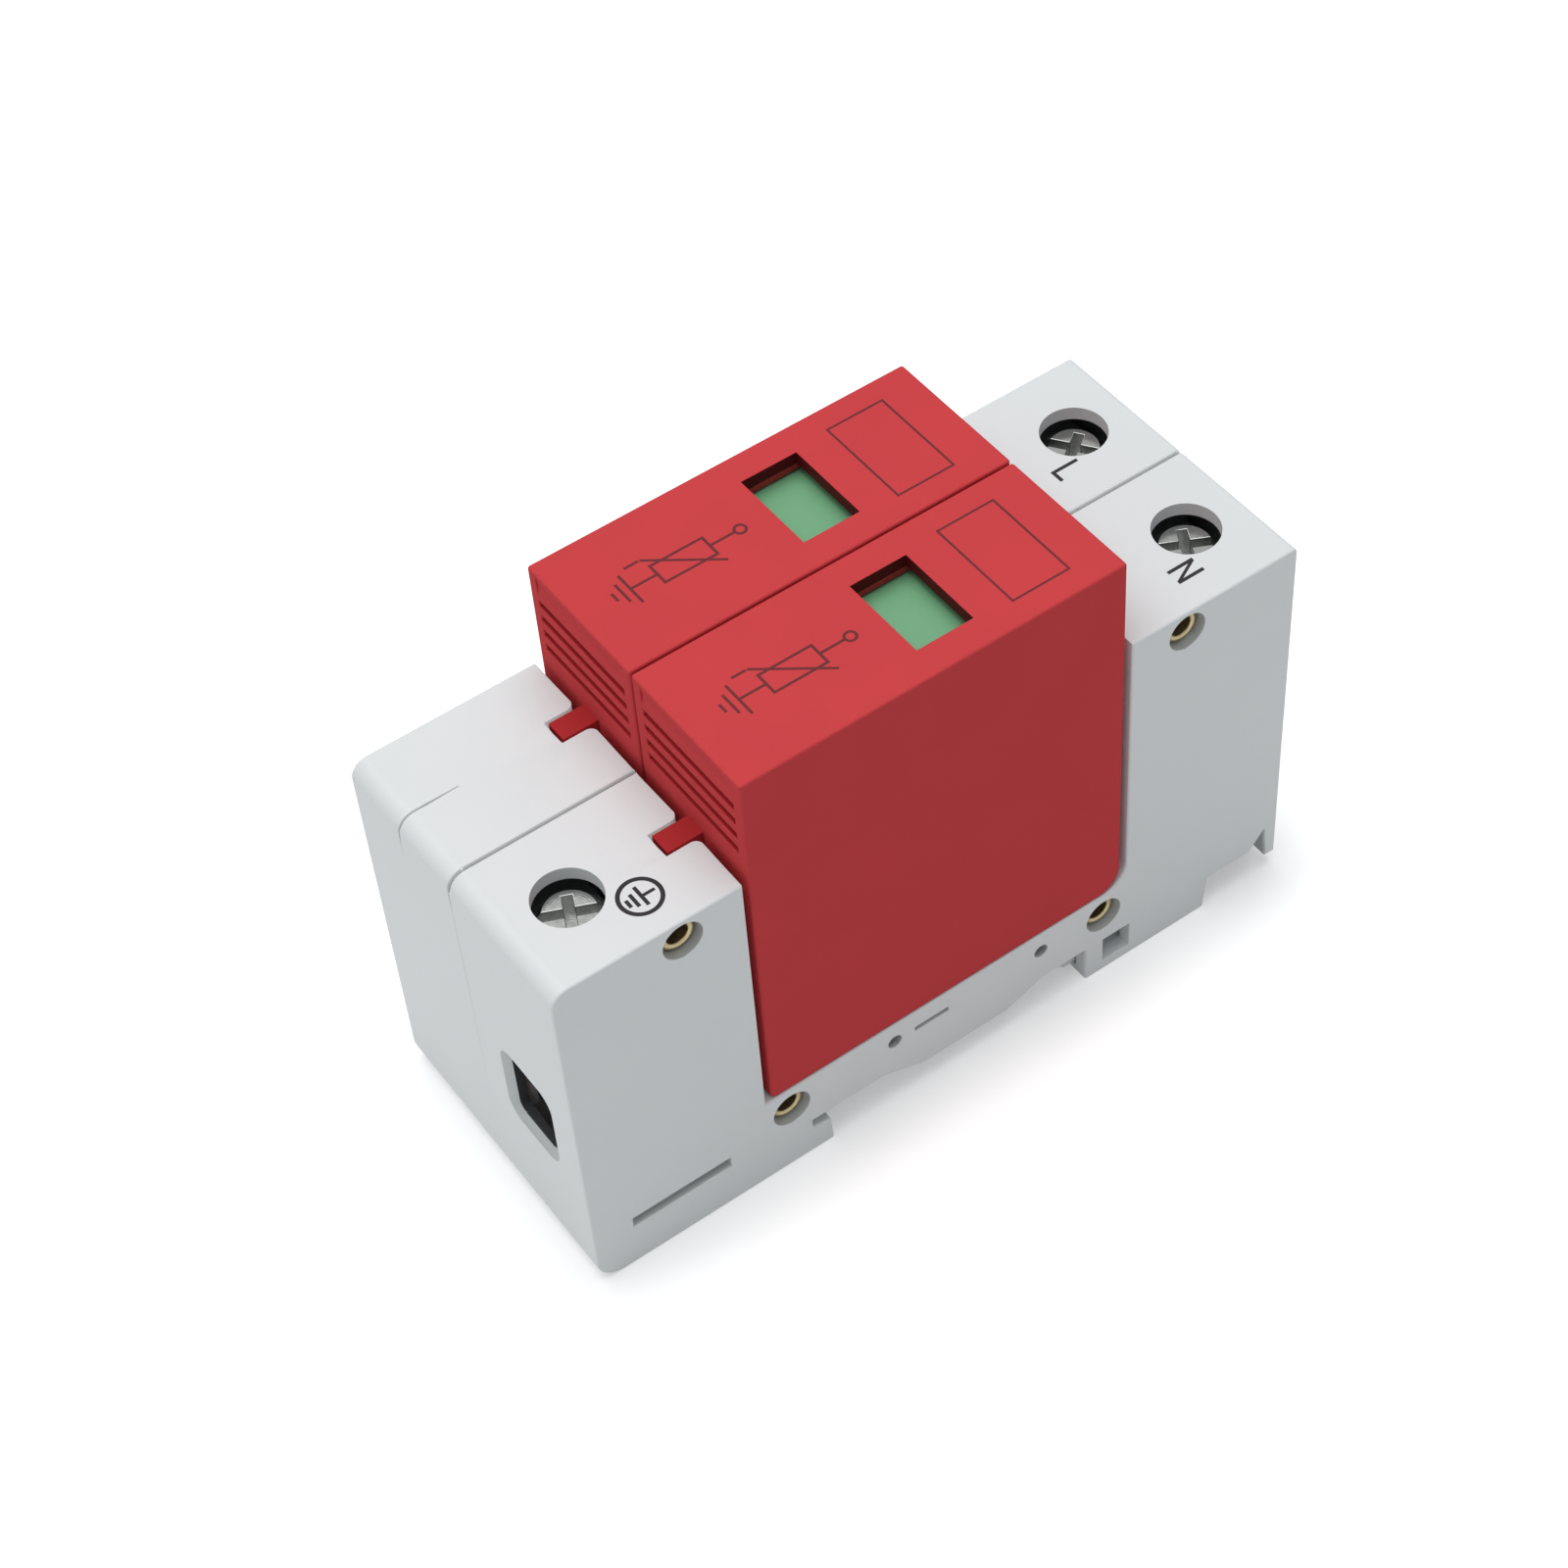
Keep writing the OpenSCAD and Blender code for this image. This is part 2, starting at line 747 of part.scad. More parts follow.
// The earth bar: a jaw in each pole, joined by a strap, and a tongue in the N pole
module earth_bar() {
    tip = earth_screw_d - cage_len / 2 - slide_gap;
    color(COPPER) {
        for (side = [-1, 1])
            in_pole(side)
                across(-bar_w / 2, bar_w / 2)
                    jaw_outline(earth_blade_d);
        in_frame()
            wide_box(pole_mid + bar_w / 2, earth_blade_d - strap_half_l, earth_blade_d + strap_half_l,
                floor_z, floor_z + bar_t);
        in_pole(1)
            across(-bar_w / 2, bar_w / 2) {
                rect([earth_riser_d, floor_z], [earth_blade_d, floor_z + bar_t]);
                rect([earth_riser_d, floor_z], [earth_riser_d + bar_t, bar_top]);
                rect([tip, bar_z], [earth_riser_d + bar_t, bar_top]);
            }
    }
}

// A terminal screw that bears on its bar, with a slot and a cross in its head
module terminal_screw(side, d, top, turn) {
    z0 = bar_top + fit_gap;
    z1 = top - head_depth;
    color(STEEL)
        in_pole(side)
            translate([0, d, 0])
                rotate(turn)
                    difference() {
                        rotate_extrude()
                            polygon([
                                [0, z0],
                                [screw_d / 2 - head_edge, z0],
                                [screw_d / 2, z0 + head_edge],
                                [screw_d / 2, z1 - head_h],
                                [head_d / 2, z1 - head_h],
                                [head_d / 2, z1 - head_edge],
                                [head_d / 2 - head_edge, z1],
                                [0, z1]
                            ]);
                        wide_box(head_d, -drive_w / 2, drive_w / 2, z1 - drive_depth, z1 + over);
                        rotate(90)
                            wide_box(cross_l / 2, -drive_w / 2, drive_w / 2, z1 - cross_depth, z1 + over);
                    }
}

module screw_l() { terminal_screw(-1, line_screw_d, line_h, screw_turn_l); }
module screw_n() { terminal_screw(1, line_screw_d, line_h, screw_turn_n); }
module screw_pe() { terminal_screw(1, earth_screw_d, earth_h, screw_turn_pe); }

// A cage clamp: a folded box around the bar, with a threaded top
module cage(side, d) {
    color(STEEL)
        in_pole(side)
            difference() {
                wide_box(cage_half_w, d - cage_len / 2, d + cage_len / 2, cage_z0, cage_z1);
                wide_box(cage_half_w - cage_wall, d - cage_len, d + cage_len, cage_floor_z, cage_top_z);
                translate([0, d, cage_top_z - over])
                    cylinder(d = screw_d + 2 * thread_gap, h = cage_top_t + 2 * over);
            }
}

module cage_l() { cage(-1, line_screw_d); }
module cage_n() { cage(1, line_screw_d); }
module cage_pe() { cage(1, earth_screw_d); }

// Side outline of the rail clip: a sloped nose, a body and a thin pull tab
module clip_outline() {
    polygon([
        [clip_nose_d, clip_nose_z],
        [clip_nose_d, clip_nose_z - nose_lip],
        [clip_nose_d + nose_ramp, clip_z0],
        [tab_end_d, clip_z0],
        [tab_end_d, clip_z0 + tab_t],
        [clip_body_d, clip_z0 + tab_t],
        [clip_body_d, clip_z1],
        [clip_wall_d + slide_gap, clip_z1],
        [clip_wall_d + slide_gap, clip_nose_z]
    ]);
}

// The rail clip: rides on the ledges, with a slit beside each spring leg and a waist at the leg's root
module rail_clip(side) {
    color(GREY)
        in_pole(side)
            difference() {
                across(-clip_half_w, clip_half_w) clip_outline();
                for (s = [0, 1])
                    mirror([s, 0, 0]) {
                        box([clip_neck_half_w, 0, 0], [pole_w, housing_l, ledge_z + slide_gap]);
                        box([tab_w / 2, clip_body_d, 0], [pole_w, housing_l, seat_z]);
                        box([leg_x, clip_wall_d + leg_in, 0], [leg_x + leg_slit, clip_body_d + over, seat_z]);
                        box([clip_neck_half_w, sight_d - slide_gap, 0],
                            [pole_w, sight_d + sight_l + slide_gap, seat_z]);
                    }
                wide_box(tab_w / 4, tab_end_d - 2 * tab_eye, tab_end_d - tab_eye, 0, seat_z);
            }
}

module rail_clip_l() { rail_clip(-1); }
module rail_clip_n() { rail_clip(1); }

// Side outline of a module, with its two rounded lower corners
module module_outline() {
    difference() {
        rect([module_d0, module_z0], [module_d1, module_z1]);
        translate([module_d0, module_z0]) corner_sliver(cap_heel_r);
        translate([module_d1, module_z0]) mirror([1, 0]) corner_sliver(cap_corner_r);
    }
}

// The grip on one end of a cap: a finger hollow over a row of grooves, cut into the face at d = 0
module grip_cut() {
    half_w = module_half_w - groove_margin;
    top = module_z1 - grip_drop;
    translate([-half_w, finger_depth - finger_r, module_z1 - finger_drop - finger_h / 2])
        rotate([0, 90, 0])
            cylinder(r = finger_r, h = 2 * half_w);
    for (i = [0 : groove_n - 1])
        wide_box(half_w, -over, groove_depth,
            top - i * groove_pitch - groove_h, top - i * groove_pitch);
}

// The tracks that carry the indicator flag, and the red shelf that shows once it has gone
module flag_tracks() {
    difference() {
        wide_box(cap_in_half_w + cap_wall / 2, track_d0, track_d1, shelf_z0, module_z1 - cap_top / 2);
        wide_box(window_w / 2 + fit_gap, track_d0 - over, track_d1 + over, shelf_z0 + shelf_t, module_z1);
        wide_box(window_w / 2 + fit_gap, shelf_d1, track_d1 + over, shelf_z0 - over, module_z1);
        wide_box(flag_half_w + slide_gap, flag_d0 - slide_gap, track_d1 + over,
            flag_z0 - slide_gap, flag_z1 + slide_gap);
    }
}

// The red cap of a module
module cap(side) {
    color(RED)
        in_pole(side)
            difference() {
                union() {
                    difference() {
                        across(-module_half_w, module_half_w) module_outline();
                        wide_box(cap_in_half_w, module_d0 + cap_wall, module_d1 - cap_wall,
                            module_z0 - over, module_z1 - cap_top);
                        translate([0, module_d0, 0]) grip_cut();
                        translate([0, module_d1, 0]) mirror([0, 1, 0]) grip_cut();
                    }
                    wide_box(rib_w / 2, module_d0 - rib_l, module_d0 + cap_wall / 2, rib_z1 - rib_h, rib_z1);
                    flag_tracks();
                }
                wide_box(window_w / 2, window_d - window_l / 2, window_d + window_l / 2,
                    flag_z1, module_z1 + over);
            }
}

module cap_l() { cap(-1); }
module cap_n() { cap(1); }

// The plug base closes the cap below and cradles the varistor
module plug_base(side) {
    half_w = cap_in_half_w - fit_gap;
    color(RED)
        in_pole(side)
            difference() {
                union() {
                    intersection() {
                        across(-half_w, half_w) module_outline();
                        wide_box(half_w, module_d0 + cap_wall + fit_gap, module_d1 - cap_wall - fit_gap,
                            0, plug_top_z);
                    }
                    for (d = cradles_d)
                        wide_box(varistor_t / 2 + fit_gap + cradle_t, d, d + cradle_t,
                            plug_top_z - fit_gap, varistor_z0 + cradle_t);
                }
                wide_box(varistor_t / 2 + fit_gap, 0, housing_l, varistor_z0, module_z1);
                for (d = [earth_blade_d, line_blade_d])
                    wide_box(blade_w / 2 + fit_gap, d - blade_t / 2 - fit_gap, d + blade_t / 2 + fit_gap,
                        0, module_z1);
            }
}

module plug_base_l() { plug_base(-1); }
module plug_base_n() { plug_base(1); }

// The varistor: a coated square disc that stands in the cradle
module varistor(side) {
    color(BLUE)
        in_pole(side)
            across(-varistor_t / 2, varistor_t / 2)
                rounded_rect([varistor_d0, varistor_z0],
                    [varistor_d1, varistor_z0 + varistor_h], varistor_r);
}

module varistor_l() { varistor(-1); }
module varistor_n() { varistor(1); }

// The varistor's line electrode, bent round to the face where the spring arm is soldered
module solder_tab(side) {
    x0 = -varistor_t / 2 - foot_t;
    end = arm_d - arm_t / 2 - solder_gap;
    color(COPPER)
        in_pole(side) {
            box([x0, (varistor_d0 + varistor_d1) / 2, tab_z0], [x0 + foot_t, end, tab_z0 + tab_h]);
            box([x0, end - foot_t, tab_z0], [arm_w / 2, end, tab_z0 + tab_h]);
        }
}

module solder_tab_l() { solder_tab(-1); }
module solder_tab_n() { solder_tab(1); }

// A blade that hangs through the plug base
module blade(d) {
    wide_box(blade_w / 2, d - blade_t / 2, d + blade_t / 2, deck_z - blade_reach, foot_top_z);
}

// The earth blade, with a foot and a riser along the varistor's side
module earth_blade(side) {
    x1 = varistor_t / 2 + foot_t;
    color(COPPER)
        in_pole(side) {
            blade(earth_blade_d);
            box([0, earth_blade_d - tab_h / 2, plug_top_z], [x1, earth_blade_d + tab_h / 2, foot_top_z]);
            box([x1 - foot_t, earth_blade_d - tab_h / 2, plug_top_z],
                [x1, earth_blade_d + tab_h / 2, varistor_z0 + varistor_h / 2]);
        }
}

module earth_blade_l() { earth_blade(-1); }
module earth_blade_n() { earth_blade(1); }

// A round bar on the spring arm's pivot axis
module pivot_bar(r, half_l) {
    translate([-half_l, arm_d, arm_pivot_z])
        rotate([0, 90, 0])
            cylinder(r = r, h = 2 * half_l);
}

// The line blade: its foot carries two ears and the pin that the spring arm turns on
module line_blade(side) {
    color(COPPER)
        in_pole(side) {
            blade(line_blade_d);
            wide_box(ear_out, arm_d - eye_r, line_blade_d, plug_top_z, foot_top_z);
            pivot_bar(pin_r, ear_out);
            difference() {
                union() {
                    wide_box(ear_out, arm_d - eye_r, arm_d + eye_r, plug_top_z, arm_pivot_z);
                    pivot_bar(eye_r, ear_out);
                }
                wide_box(ear_in, arm_d - 2 * eye_r, arm_d + 2 * eye_r, foot_top_z, arm_pivot_z + 2 * eye_r);
            }
        }
}

module line_blade_l() { line_blade(-1); }
module line_blade_n() { line_blade(1); }

// The spring arm of the thermal disconnector, rolled into an eye at its foot
module trip_arm(side) {
    color(COPPER)
        in_pole(side)
            difference() {
                union() {
                    wide_box(arm_w / 2, arm_d - arm_t / 2, arm_d + arm_t / 2, arm_pivot_z, arm_top_z);
                    pivot_bar(eye_r, arm_w / 2);
                }
                pivot_bar(pin_r + pin_gap, arm_w);
            }
}

module trip_arm_l() { trip_arm(-1); }
module trip_arm_n() { trip_arm(1); }

// The indicator flag: a plate under the window and a finger that the spring arm pushes
module flag(side) {
    color(GREEN)
        in_pole(side) {
            wide_box(flag_half_w, flag_d0, finger_d + finger_t, flag_z0, flag_z1);
            wide_box(arm_w / 2, finger_d, finger_d + finger_t, flag_z0 - finger_l, flag_z1);
        }
}

module flag_l() { flag(-1); }
module flag_n() { flag(1); }

shell_l_outer();
shell_l_inner();
shell_n_inner();
shell_n_outer();
rivets();
contact_l();
contact_n();
earth_bar();
screw_l();
screw_n();
screw_pe();
cage_l();
cage_n();
cage_pe();
rail_clip_l();
rail_clip_n();
cap_l();
cap_n();
plug_base_l();
plug_base_n();
varistor_l();
varistor_n();
solder_tab_l();
solder_tab_n();
earth_blade_l();
earth_blade_n();
line_blade_l();
line_blade_n();
trip_arm_l();
trip_arm_n();
flag_l();
flag_n();
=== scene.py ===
# A two-pole surge arrester on its feet: softened edges, finishes, print marks and a plain studio.
import json
import math

import bmesh
import bpy
from mathutils import Matrix, Quaternion, Vector


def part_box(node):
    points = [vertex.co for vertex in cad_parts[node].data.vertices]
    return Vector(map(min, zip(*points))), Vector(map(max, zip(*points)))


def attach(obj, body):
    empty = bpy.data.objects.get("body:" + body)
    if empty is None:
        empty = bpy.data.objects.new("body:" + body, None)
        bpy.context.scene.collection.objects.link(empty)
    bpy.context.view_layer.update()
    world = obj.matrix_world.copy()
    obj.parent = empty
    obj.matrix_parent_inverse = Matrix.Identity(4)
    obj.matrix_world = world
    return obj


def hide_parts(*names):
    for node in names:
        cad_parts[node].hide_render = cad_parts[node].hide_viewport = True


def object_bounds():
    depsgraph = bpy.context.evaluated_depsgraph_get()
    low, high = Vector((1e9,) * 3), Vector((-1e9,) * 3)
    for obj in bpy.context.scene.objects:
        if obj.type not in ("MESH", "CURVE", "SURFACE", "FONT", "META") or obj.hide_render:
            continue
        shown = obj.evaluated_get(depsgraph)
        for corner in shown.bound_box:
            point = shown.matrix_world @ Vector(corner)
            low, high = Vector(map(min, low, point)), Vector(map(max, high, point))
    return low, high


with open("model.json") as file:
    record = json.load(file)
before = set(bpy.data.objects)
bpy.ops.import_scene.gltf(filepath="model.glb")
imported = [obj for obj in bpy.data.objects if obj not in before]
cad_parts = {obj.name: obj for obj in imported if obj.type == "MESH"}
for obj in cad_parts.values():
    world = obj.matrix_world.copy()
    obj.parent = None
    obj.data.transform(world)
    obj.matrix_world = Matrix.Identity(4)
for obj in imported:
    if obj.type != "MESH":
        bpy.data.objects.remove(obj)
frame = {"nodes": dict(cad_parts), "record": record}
cad_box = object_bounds()

MM = 0.001
X, Y, Z = 0, 1, 2
RECORD = frame["record"]
BODY_OF = {node: body for body, nodes in RECORD["behaviour"]["bodies"].items() for node in nodes}
POLES = {"l": -1, "n": 1}

# Welding and edge finding
WELD = 0.0005 * MM
TOUCH = 0.01 * MM
FLAT_ANGLE = math.radians(0.4)
SHARP_ANGLE = math.radians(32)
EDGE_SEGMENTS = 3

# Least length of an edge across the housing, its least share along x, and the least share of a half
# shell's width that the faces of the housing's own outline take up
SHORTEST_RUN = 1 * MM
STRAIGHT_RUN = 0.95
OUTLINE_SHARE = 0.4

# Least share of a normal along the axis that a face looks along, and most along one that it runs along
LOOKS_ALONG = 0.9
RUNS_BESIDE = 0.3

# Radii of the softened edges
HOUSING_EDGE = 0.25 * MM
SEAM_EDGE = 0.45 * MM
NARROW_SEAM_EDGE = 0.03 * MM
WIDE_GAPE = 0.26 * MM
NARROW_GAPE = 0.13 * MM
RIM_EDGE = 0.12 * MM
CAP_EDGE = 0.3 * MM
CAP_DETAIL_EDGE = 0.1 * MM
METAL_EDGE = 0.08 * MM
CAGE_EDGE = 0.16 * MM
CLIP_EDGE = 0.15 * MM
VARISTOR_EDGE = 0.8 * MM

# Places read from the frame, and the height of the earth end's shoulder
half_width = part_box("shell_n_outer")[1].x
pole_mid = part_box("shell_n_outer")[0].x
earth_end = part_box("shell_n_outer")[0].y
half_length = -earth_end
cap_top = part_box("cap_n")[1].z
line_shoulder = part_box("shell_n_outer")[1].z
earth_shoulder = 47.8 * MM

# Thickness of the print, how deep it sits in the plastic, and the lift of a line that crosses others
PRINT_T = 0.022 * MM
PRINT_SINK = 0.01 * MM
CROSSING_LIFT = 0.2 * PRINT_T
RING_SEGMENTS = 72

# Widths of printed lines, in mm
LETTER_STROKE = 0.42
SIGN_LINE = 0.3
FIELD_LINE = 0.25


# Shader building

def add_node(owner, kind, **values):
    """A shader node of a material or a world, whose named inputs are set."""
    node = owner.node_tree.nodes.new(kind)
    for name, value in values.items():
        node.inputs[name.replace("_", " ")].default_value = value
    return node


def join(owner, out_socket, in_socket):
    owner.node_tree.links.new(out_socket, in_socket)


def new_finish(name, colour, roughness, metallic=0.0):
    """A principled material, its shader and its Object coordinates."""
    finish = bpy.data.materials.new(name)
    finish.use_nodes = True
    shader = finish.node_tree.nodes["Principled BSDF"]
    shader.inputs["Base Color"].default_value = (*colour, 1)
    shader.inputs["Roughness"].default_value = roughness
    shader.inputs["Metallic"].default_value = metallic
    coords = add_node(finish, "ShaderNodeTexCoord").outputs["Object"]
    return finish, shader, coords


def lumps(finish, coords, size, detail=2.0):
    """A noise whose lumps are about this size across."""
    noise = add_node(finish, "ShaderNodeTexNoise", Scale=1 / size, Detail=detail)
    join(finish, coords, noise.inputs["Vector"])
    return noise.outputs["Fac"]


def vary_colour(finish, shader, pattern, colour, spread):
    """Shades the colour a little darker and lighter along a pattern."""
    mix = add_node(finish, "ShaderNodeMix")
    mix.data_type = "RGBA"
    sockets = {socket.identifier: socket for socket in mix.inputs}
    sockets["A_Color"].default_value = (*[c * (1 - spread) for c in colour], 1)
    sockets["B_Color"].default_value = (*[min(1, c * (1 + spread)) for c in colour], 1)
    join(finish, pattern, sockets["Factor_Float"])
    result = next(socket for socket in mix.outputs if socket.identifier == "Result_Color")
    join(finish, result, shader.inputs["Base Color"])


def vary_roughness(finish, shader, pattern, low, high):
    spread = add_node(finish, "ShaderNodeMapRange", To_Min=low, To_Max=high)
    join(finish, pattern, spread.inputs["Value"])
    join(finish, spread.outputs["Result"], shader.inputs["Roughness"])


def raise_bumps(finish, shader, pattern, depth):
    bump = add_node(finish, "ShaderNodeBump", Strength=1.0, Distance=depth)
    join(finish, pattern, bump.inputs["Height"])
    join(finish, bump.outputs["Normal"], shader.inputs["Normal"])


# Finishes

GREY_GRAIN = 0.16 * MM
RED_GRAIN = 0.14 * MM
GRAIN_DEPTH = 0.008 * MM
SHADE_PATCH = 9 * MM
TOOL_RING = 0.9 * MM
PLATING_CLOUD = 0.6 * MM


def moulded_plastic(name, colour, roughness, grain, depth=GRAIN_DEPTH, spread=0.05, gloss=0.5):
    """Moulded plastic: a fine eroded grain and slow shifts of shade."""
    finish, shader, coords = new_finish(name, colour, roughness)
    shader.inputs["Specular IOR Level"].default_value = gloss
    fine = lumps(finish, coords, grain, detail=3.0)
    vary_colour(finish, shader, lumps(finish, coords, SHADE_PATCH), colour, spread)
    vary_roughness(finish, shader, fine, low=roughness - 0.08, high=roughness + 0.08)
    raise_bumps(finish, shader, fine, depth)
    return finish


def stamped_metal(name, colour, roughness, streak):
    """Rolled sheet metal: fine streaks along the rolling direction."""
    finish, shader, coords = new_finish(name, colour, roughness, metallic=1.0)
    stretch = add_node(finish, "ShaderNodeMapping", Scale=streak)
    join(finish, coords, stretch.inputs["Vector"])
    streaks = lumps(finish, stretch.outputs["Vector"], 1.0, detail=3.0)
    vary_colour(finish, shader, streaks, colour, spread=0.12)
    vary_roughness(finish, shader, streaks, low=roughness - 0.08, high=roughness + 0.14)
    raise_bumps(finish, shader, streaks, depth=0.004 * MM)
    return finish


def turned_metal(name, colour, roughness, axis_place):
    """Plated, turned metal: tool rings around an upright axis, and a cloudy plating."""
    finish, shader, coords = new_finish(name, colour, roughness, metallic=1.0)
    centre = add_node(finish, "ShaderNodeMapping", Location=[-c for c in axis_place])
    join(finish, coords, centre.inputs["Vector"])
    rings = add_node(finish, "ShaderNodeTexWave", Scale=1 / TOOL_RING, Distortion=1.5, Detail=2.0)
    rings.wave_type = "RINGS"
    rings.rings_direction = "Z"
    join(finish, centre.outputs["Vector"], rings.inputs["Vector"])
    cloud = lumps(finish, coords, PLATING_CLOUD, detail=3.0)
    vary_colour(finish, shader, cloud, colour, spread=0.1)
    vary_roughness(finish, shader, cloud, low=roughness - 0.08, high=roughness + 0.12)
    raise_bumps(finish, shader, rings.outputs["Fac"], depth=0.002 * MM)
    return finish


GREY = (0.735, 0.755, 0.76)
# Painted shade: darker greys stand in for the shade in the seams, hole walls, wire entries and screw
# chambers
PAINTED_SHADE_GREY = (0.53, 0.55, 0.55)
PAINTED_CHAMBER_SHADE = (0.16, 0.165, 0.17)
PAINTED_RECESS_SHADE = (0.045, 0.048, 0.05)
RED = (0.6, 0.06, 0.066)
# Painted shade: darker reds stand in for the shade on the grip grooves, guide ribs and window walls
SHADED_RED = (0.42, 0.03, 0.034)
PAINTED_WINDOW_SHADE = (0.1, 0.007, 0.009)
GREEN = (0.165, 0.415, 0.215)
EPOXY = (0.03, 0.1, 0.27)
INK = (0.018, 0.016, 0.02)
RED_INK = (0.13, 0.012, 0.015)
ZINC = (0.42, 0.43, 0.42)
BRASS = (0.47, 0.39, 0.23)
COPPER = (0.78, 0.43, 0.28)

grey_plastic = moulded_plastic("grey_plastic", GREY, roughness=0.5, grain=GREY_GRAIN, spread=0.015)
red_plastic = moulded_plastic("red_plastic", RED, roughness=0.72, grain=RED_GRAIN, gloss=0.02)
# Painted shade: the darker reds and greys below are shaded copies of the two plastics
painted_window_shade = moulded_plastic("painted_window_shade", PAINTED_WINDOW_SHADE, roughness=0.55, grain=RED_GRAIN, gloss=0.06)
shaded_red = moulded_plastic("shaded_red", SHADED_RED, roughness=0.72, grain=RED_GRAIN, gloss=0.02)
painted_recess_shade, painted_chamber_shade, painted_shade_grey = (
    moulded_plastic(name, colour, roughness=0.55, grain=GREY_GRAIN, gloss=0.2)
    for name, colour in (
        ("painted_recess_shade", PAINTED_RECESS_SHADE), ("painted_chamber_shade", PAINTED_CHAMBER_SHADE), ("painted_shade_grey", PAINTED_SHADE_GREY),
    )
)
green_plastic = moulded_plastic("green_plastic", GREEN, roughness=0.4, grain=0.2 * MM, depth=0.004 * MM,
                                spread=0.03)
epoxy = moulded_plastic("blue_epoxy", EPOXY, roughness=0.22, grain=0.9 * MM, depth=0.03 * MM, spread=0.08)
ink, red_ink = (
    moulded_plastic(name, colour, roughness=0.6, grain=0.1 * MM, depth=0.003 * MM, spread=0.2, gloss=0.3)
    for name, colour in (("black_ink", INK), ("dark_red_ink", RED_INK))
)
brass = stamped_metal("rolled_brass", BRASS, roughness=0.36, streak=(400, 900, 900))
copper = stamped_metal("stamped_copper", COPPER, roughness=0.34, streak=(300, 2500, 300))
cage_steel = stamped_metal("cage_steel", ZINC, roughness=0.36, streak=(2500, 300, 300))


# Dressing the solids

def welded(node):
    """A welded copy of a CAD node, with each flat face left whole."""
    bm = bmesh.new()
    bm.from_mesh(frame["nodes"][node].data)
    bmesh.ops.remove_doubles(bm, verts=bm.verts, dist=WELD)
    bmesh.ops.dissolve_limit(bm, angle_limit=FLAT_ANGLE, verts=bm.verts, edges=bm.edges)
    return bm


def is_corner(edge):
    return edge.is_manifold and edge.calc_face_angle() > SHARP_ANGLE


def weigh_edges(bm, rules):
    """Gives each sharp edge the radius of the first rule that takes it, as a share of the widest."""
    widest = max(radius for rule, radius in rules)
    weight = bm.edges.layers.float.new("bevel_weight_edge")
    for edge in filter(is_corner, bm.edges):
        radius = next((radius for rule, radius in rules if rule(edge)), 0)
        edge[weight] = radius / widest
    return widest


def add_piece(name, bm, finish, body):
    """A smooth-shaded object made of a bmesh, which rides on a body."""
    mesh = bpy.data.meshes.new(name)
    bm.to_mesh(mesh)
    bm.free()
    mesh.materials.append(finish)
    mesh.shade_smooth()
    mesh.set_sharp_from_angle(angle=SHARP_ANGLE)
    piece = bpy.data.objects.new(name, mesh)
    bpy.context.scene.collection.objects.link(piece)
    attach(piece, body)
    return piece


def even_shading(piece):
    """Fixes the softened edges in the mesh and lets the broad faces rule the shading."""
    shaped = piece.evaluated_get(bpy.context.evaluated_depsgraph_get())
    mesh = bpy.data.meshes.new_from_object(shaped)
    mesh.name = piece.data.name
    piece.modifiers.clear()
    piece.data = mesh
    mesh.set_sharp_from_angle(angle=SHARP_ANGLE)
    even = piece.modifiers.new("even_shading", "WEIGHTED_NORMAL")
    even.keep_sharp = True


def dress(node, finish, rules, cuts=(), shades=()):
    """Stands a welded copy with softened edges in for a CAD node.

    A rule picks edges for a radius, a cut is a place along y where a radius changes, and a
    shade picks faces for a darker finish of their own, which is painted shade.
    """
    bm = welded(node)
    for y in cuts:
        bmesh.ops.bisect_plane(bm, geom=bm.verts[:] + bm.edges[:] + bm.faces[:], dist=WELD,
                               plane_co=(0, y, 0), plane_no=(0, 1, 0))
    for index, (is_shaded, shade) in enumerate(shades, 1):
        for face in filter(is_shaded, bm.faces):
            face.material_index = index
    widest = weigh_edges(bm, rules)
    piece = add_piece(node + "_dressed", bm, finish, BODY_OF[node])
    for is_shaded, shade in shades:
        piece.data.materials.append(shade)
    soften = piece.modifiers.new("soft_edges", "BEVEL")
    soften.limit_method = "WEIGHT"
    soften.width = widest
    soften.segments = EDGE_SEGMENTS
    soften.profile = 0.5
    soften.use_clamp_overlap = False
    soften.loop_slide = False
    even_shading(piece)
    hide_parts(node)


def lies_at(part, axis, place):
    """True if every corner of an edge or a face has this place along an axis."""
    return all(abs(v.co[axis] - place) < TOUCH for v in part.verts)


def span(face, axis):
    along = [v.co[axis] for v in face.verts]
    return max(along) - min(along)


def looks_along(face, axis):
    return abs(face.normal[axis]) > LOOKS_ALONG


def runs_beside(face, axis):
    """True if a face runs along an axis, as the walls of a hole do."""
    return abs(face.normal[axis]) < RUNS_BESIDE


def runs_deep(edge):
    """True if one of the edge's faces runs across the half shell, as the housing's own outline does."""
    return max(span(face, X) for face in edge.link_faces) > OUTLINE_SHARE * pole_mid


def runs_across(edge):
    """True if the edge runs from side to side of the housing."""
    run = edge.verts[1].co - edge.verts[0].co
    return abs(run.x) > STRAIGHT_RUN * run.length and run.length > SHORTEST_RUN


def is_convex(edge):
    return edge.calc_face_angle_signed() > 0


def any_edge(edge):
    return True


